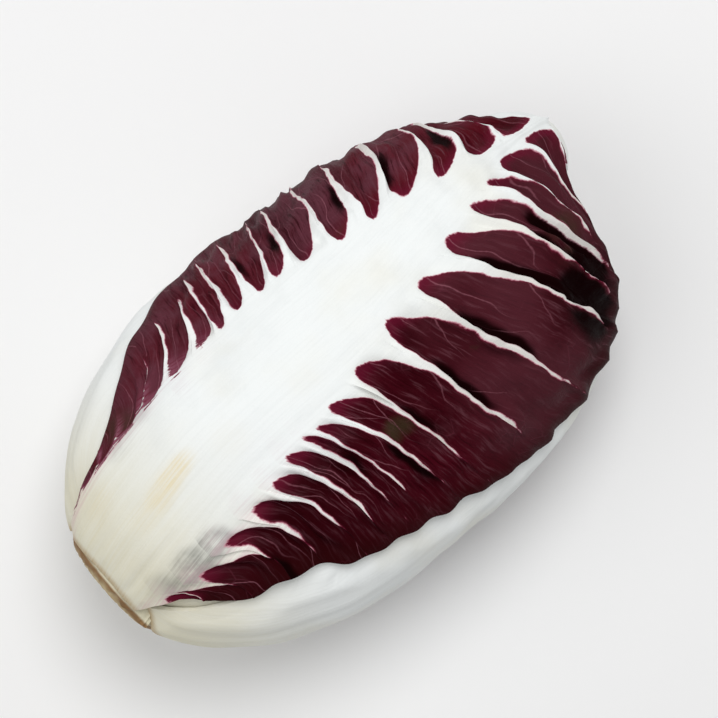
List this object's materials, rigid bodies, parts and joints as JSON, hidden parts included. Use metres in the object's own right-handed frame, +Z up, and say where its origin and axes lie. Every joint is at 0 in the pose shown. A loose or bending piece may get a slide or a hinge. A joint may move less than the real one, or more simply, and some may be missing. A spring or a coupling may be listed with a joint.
{
  "type": "treviso radicchio head",
  "caption": "Egg-shaped head of Treviso radicchio lying on its side, with broad-ribbed leaves wrapped over a heart and a cut stem at one end.",
  "frame": {"origin": "middle of the flat spot under the head, where it touches the surface that it lies on", "axes": "+Z up; +X along the head from the cut stem to the leaf tips; +Y to the left of the leaf on top"},
  "size_m": [0.1796, 0.1076, 0.0903],
  "materials": {
    "leaf": "thin smooth leaf with a soft sheen, burgundy between white ribs and veins",
    "stem": "dull cut stem, cream with a tan edge"
  },
  "bodies": {
    "root": {"outer_leaf_top": "leaf", "outer_leaf_right": "leaf", "outer_leaf_left": "leaf", "outer_leaf_bottom": "leaf", "middle_leaf_right": "leaf", "middle_leaf_left": "leaf", "middle_leaf_low_right": "leaf", "middle_leaf_low_left": "leaf", "inner_leaf_top": "leaf", "inner_leaf_bottom": "leaf", "inner_leaf_right": "leaf", "inner_leaf_left": "leaf", "heart": "leaf", "stem": "stem"}
  },
  "joints": []
}
